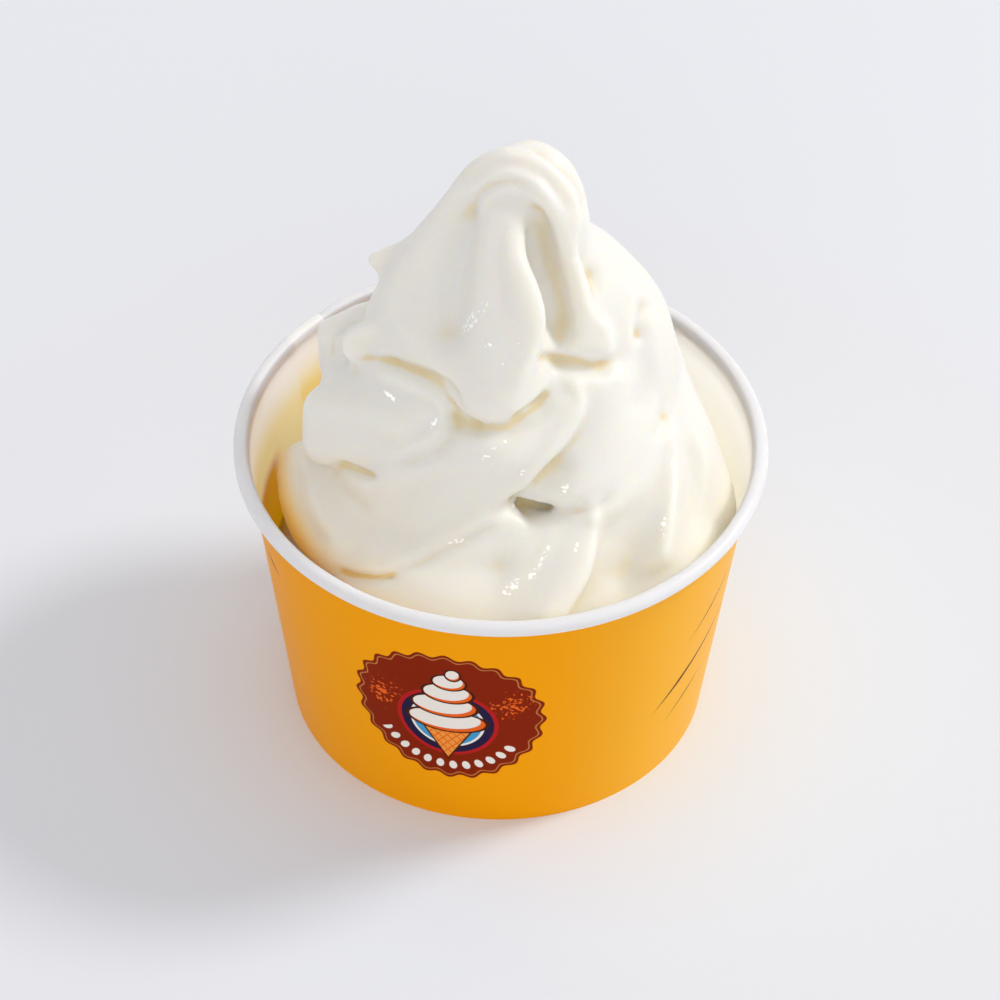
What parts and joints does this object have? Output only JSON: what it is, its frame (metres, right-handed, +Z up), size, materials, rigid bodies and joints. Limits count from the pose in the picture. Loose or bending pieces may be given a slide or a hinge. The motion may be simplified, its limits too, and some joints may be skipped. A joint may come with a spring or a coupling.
{
  "type": "cup of ice cream",
  "caption": "Soft vanilla ice cream piped in a leaning swirl, in a tapered printed paper cup with a white rolled rim.",
  "frame": {"origin": "centre of the cup's foot, at the plane it stands on", "axes": "+Z up along the cup's axis; the side seen in the picture faces -Y, and its right is +X"},
  "size_m": [0.096, 0.096, 0.1239],
  "materials": {
    "printed_paper": "coated paper with a satin print, orange outside and white inside",
    "white_paper": "coated white paper",
    "ice_cream": "creamy, moist, lightly glossy"
  },
  "bodies": {
    "root": {"cup_wall": "printed_paper", "cup_base": "white_paper", "ice_cream": "ice_cream"}
  },
  "joints": []
}
